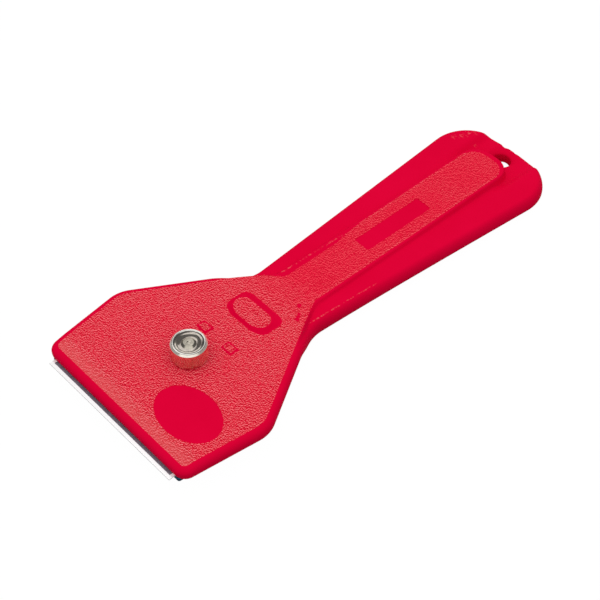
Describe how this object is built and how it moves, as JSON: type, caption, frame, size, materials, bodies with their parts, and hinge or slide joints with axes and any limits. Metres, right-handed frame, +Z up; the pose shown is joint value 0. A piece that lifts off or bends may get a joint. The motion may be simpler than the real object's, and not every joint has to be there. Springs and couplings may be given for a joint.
{
  "type": "laboratory scraper",
  "caption": "Red moulded hand scraper: a flared flat head clamps a wide steel blade over a plate with a knurled thumb screw; tapering ribbed handle with a hanging hole.",
  "frame": {"origin": "centre of the bounding box, on the plane that the nut and the handle rest on", "axes": "+Y from the cutting edge towards the handle end, +Z up through the knob, +X across the blade"},
  "size_m": [0.0536, 0.131, 0.012],
  "materials": {
    "red_plastic": "red polypropylene, grained on the flat top and rib, smooth on the edges and wings",
    "blade_steel": "blued spring steel with one bright ground bevel",
    "plate_steel": "rolled sheet steel",
    "nut_steel": "zinc plated steel",
    "nickel_plate": "nickel plated, straight knurl"
  },
  "bodies": {
    "scraper": {"scraper_body": "red_plastic"},
    "screw": {"thumb_screw": "nickel_plate"},
    "clamp": {"clamp_plate": "plate_steel", "clamp_nut": "nut_steel"},
    "blade_body": {"blade": "blade_steel"}
  },
  "joints": [
    {"name": "screw_turn", "type": "hinge", "parent": "scraper", "child": "screw", "pos_m": [0, -0.0421, 0], "axis": [0, 0, 1], "range_deg": [0, 1080]},
    {"name": "clamp_open", "type": "slide", "parent": "scraper", "child": "clamp", "axis": [0, 0, -1], "range_m": [0, 0.0021]},
    {"name": "blade_draw", "type": "slide", "parent": "scraper", "child": "blade_body", "axis": [0, -1, 0], "range_m": [0, 0.02]}
  ],
  "couplings": [
    {"joint": "screw_turn", "follows": "clamp_open", "rad_per_m": 8975.9}
  ]
}
